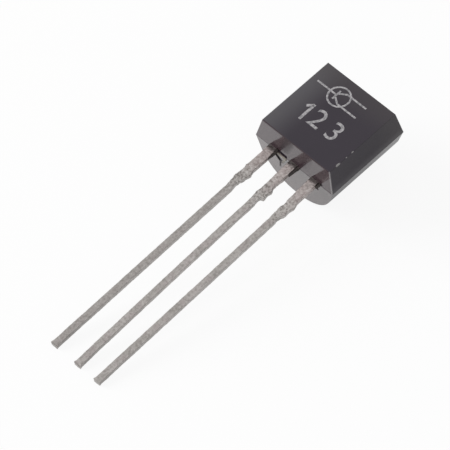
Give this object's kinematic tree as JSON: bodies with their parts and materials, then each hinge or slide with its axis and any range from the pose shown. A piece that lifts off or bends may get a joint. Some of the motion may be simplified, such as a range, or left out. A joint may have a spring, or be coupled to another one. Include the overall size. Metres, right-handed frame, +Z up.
{
  "type": "to-92 transistor",
  "caption": "Small-signal transistor: a D-shaped moulded plastic case with a flat face and a round back, and a row of flat tinned leads from one end.",
  "frame": {"origin": "on the surface that the transistor lies on, under the middle of its overall box", "axes": "+Z up from that surface; +Y along the transistor towards the case, away from the leads; +X to the right, seen from above with the leads towards the viewer. The flat face looks up, leaning 7.1 degrees towards the leads"},
  "size_m": [0.0046, 0.0176, 0.0041],
  "materials": {
    "moulded_epoxy": "satin",
    "tinned_lead": "satin",
    "silicon": "polished",
    "silver_paste": "matte",
    "bond_gold": "polished"
  },
  "bodies": {
    "root": {"case": "moulded_epoxy", "emitter_lead": "tinned_lead", "collector_lead": "tinned_lead", "base_lead": "tinned_lead", "die": "silicon", "die_attach": "silver_paste", "emitter_bond_wire": "bond_gold", "base_bond_wire": "bond_gold"}
  },
  "joints": []
}
